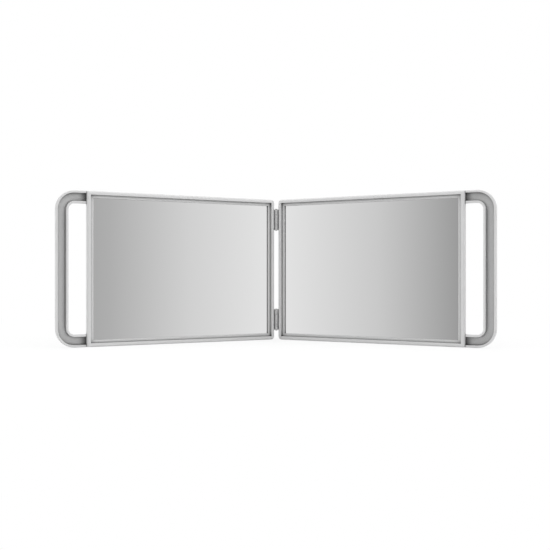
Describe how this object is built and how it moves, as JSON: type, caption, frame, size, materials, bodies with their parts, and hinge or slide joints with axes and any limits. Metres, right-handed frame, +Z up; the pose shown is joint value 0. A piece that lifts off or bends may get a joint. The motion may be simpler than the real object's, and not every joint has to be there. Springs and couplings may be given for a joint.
{
  "type": "folding hand-held barber mirror",
  "caption": "Hand-held salon mirror with hinged rectangular mirror panels that fold face to face and a U-shaped handle at each outer end.",
  "frame": {"origin": "on the surface the mirror stands on, under the middle of its bounding box", "axes": "+Z up along the hinge axis, +Y away from the viewer who faces the mirrors, +X from the left panel to the right one"},
  "size_m": [0.5572, 0.153, 0.2],
  "materials": {
    "frame_plastic": "fine satin, moulded light grey ABS",
    "shell_plastic": "fine satin, moulded light grey ABS",
    "silvered_glass": "polished, silvered behind",
    "foam": "soft closed-cell foam",
    "hinge_plastic": "satin, moulded grey nylon",
    "pin_steel": "drawn and zinc plated",
    "screw_steel": "zinc plated"
  },
  "bodies": {
    "left_panel": {"left_back_shell_with_handle": "shell_plastic", "left_case_screw_1": "screw_steel", "left_case_screw_2": "screw_steel", "left_case_screw_3": "screw_steel", "left_case_screw_4": "screw_steel", "left_case_screw_5": "screw_steel", "left_case_screw_6": "screw_steel", "left_case_screw_7": "screw_steel", "left_case_screw_8": "screw_steel", "left_foam_pad": "foam", "left_front_frame": "frame_plastic", "left_mirror_glass": "silvered_glass", "lower_hinge_left_leaf": "hinge_plastic", "lower_hinge_left_screw_1": "screw_steel", "lower_hinge_left_screw_2": "screw_steel", "lower_hinge_pin": "pin_steel", "upper_hinge_left_leaf": "hinge_plastic", "upper_hinge_left_screw_1": "screw_steel", "upper_hinge_left_screw_2": "screw_steel", "upper_hinge_pin": "pin_steel"},
    "right_panel": {"lower_hinge_right_leaf": "hinge_plastic", "lower_hinge_right_screw_1": "screw_steel", "lower_hinge_right_screw_2": "screw_steel", "right_back_shell_with_handle": "shell_plastic", "right_case_screw_1": "screw_steel", "right_case_screw_2": "screw_steel", "right_case_screw_3": "screw_steel", "right_case_screw_4": "screw_steel", "right_case_screw_5": "screw_steel", "right_case_screw_6": "screw_steel", "right_case_screw_7": "screw_steel", "right_case_screw_8": "screw_steel", "right_foam_pad": "foam", "right_front_frame": "frame_plastic", "right_mirror_glass": "silvered_glass", "upper_hinge_right_leaf": "hinge_plastic", "upper_hinge_right_screw_1": "screw_steel", "upper_hinge_right_screw_2": "screw_steel"}
  },
  "joints": [
    {"name": "fold", "type": "hinge", "parent": "left_panel", "child": "right_panel", "pos_m": [0, 0.06624, 0.1], "axis": [0, 0, 1], "range_deg": [-124, 56]}
  ]
}
